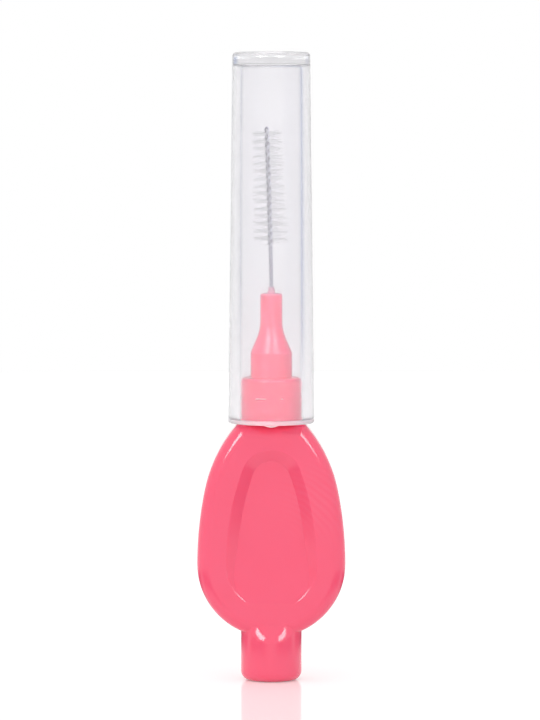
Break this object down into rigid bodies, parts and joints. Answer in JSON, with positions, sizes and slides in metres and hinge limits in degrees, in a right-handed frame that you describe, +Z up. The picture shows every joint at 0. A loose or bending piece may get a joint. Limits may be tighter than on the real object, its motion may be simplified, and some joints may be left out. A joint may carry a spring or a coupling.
{
  "type": "interdental brush",
  "caption": "Finger-held interdental brush: twisted-wire nylon bristle head on a moulded thumb-pad handle, with a clear push-on travel cap.",
  "frame": {"origin": "middle of the flat end of the tail stub, which the brush stands on", "axes": "+Z up along the brush to the cap's closed end, +X across the thumb pad's width, the pad's broad faces look along -Y and +Y"},
  "size_m": [0.0194, 0.0112, 0.0818],
  "materials": {
    "pink_plastic": "injection-moulded pink polypropylene, glossy",
    "clear_plastic": "clear, slightly hazy moulded polypropylene",
    "steel_wire": "drawn stainless steel wire",
    "nylon": "fine translucent nylon filament"
  },
  "bodies": {
    "brush": {"handle": "pink_plastic", "wire": "steel_wire", "bristle_turn_1": "nylon", "bristle_turn_2": "nylon", "bristle_turn_3": "nylon", "bristle_turn_4": "nylon", "bristle_turn_5": "nylon", "bristle_turn_6": "nylon", "bristle_turn_7": "nylon", "bristle_turn_8": "nylon"},
    "cap": {"cap": "clear_plastic"}
  },
  "joints": [
    {"name": "cap_pull", "type": "slide", "parent": "brush", "child": "cap", "axis": [0, 0, 1], "range_m": [0, 0.042]}
  ]
}
